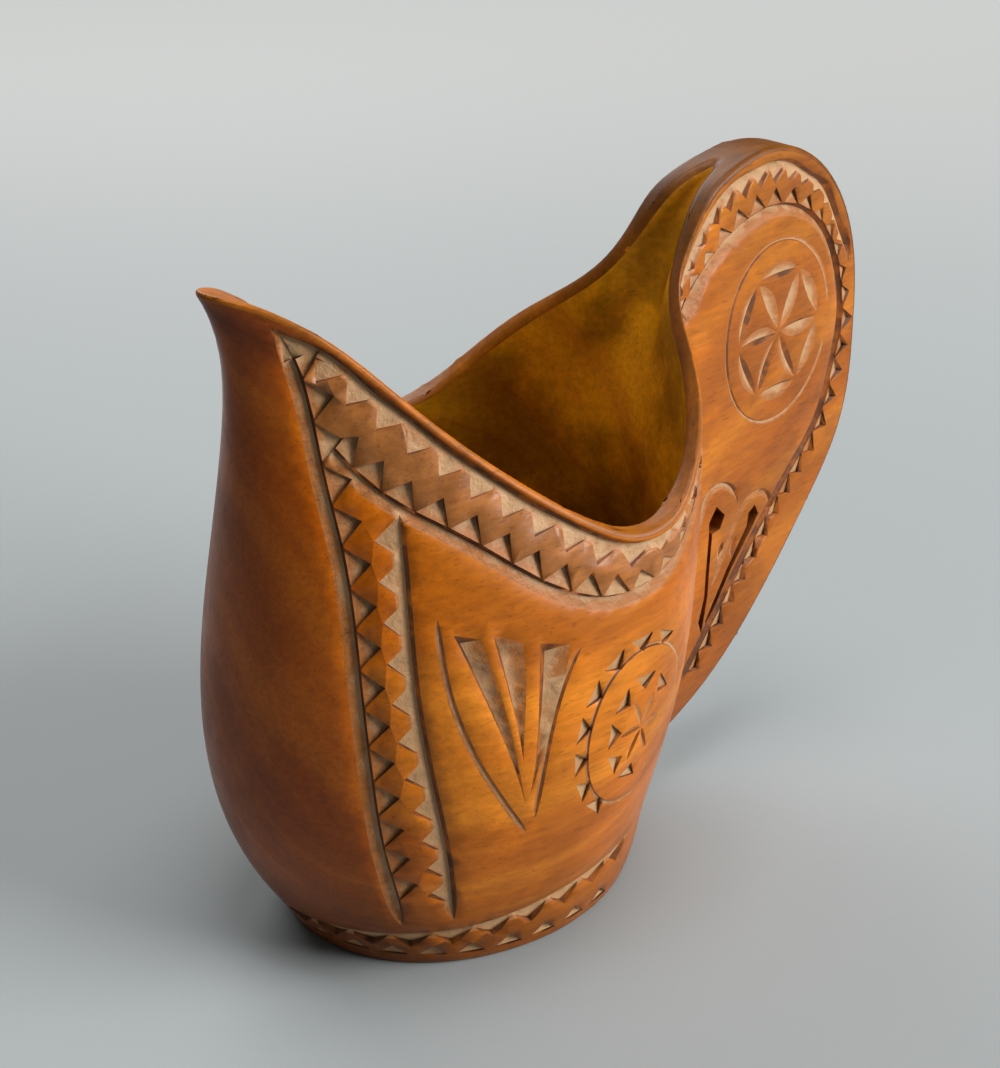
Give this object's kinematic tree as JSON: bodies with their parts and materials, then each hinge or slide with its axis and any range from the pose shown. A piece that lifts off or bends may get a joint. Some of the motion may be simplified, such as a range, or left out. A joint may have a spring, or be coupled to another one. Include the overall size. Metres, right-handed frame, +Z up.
{
  "type": "carved wooden wedding cup",
  "caption": "Egg-shaped drinking cup carved from one piece of wood, with a swept beak-like rim, a tall flat pierced handle and chip-carved bands and rosettes.",
  "frame": {"origin": "middle of the foot's flat underside", "axes": "+Z up, +X from the bowl towards the handle's back edge, -X towards the beak, +Y across"},
  "size_m": [0.1663, 0.0842, 0.1384],
  "materials": {
    "carved_wood": "waxed and worn"
  },
  "bodies": {
    "root": {"cup": "carved_wood"}
  },
  "joints": []
}
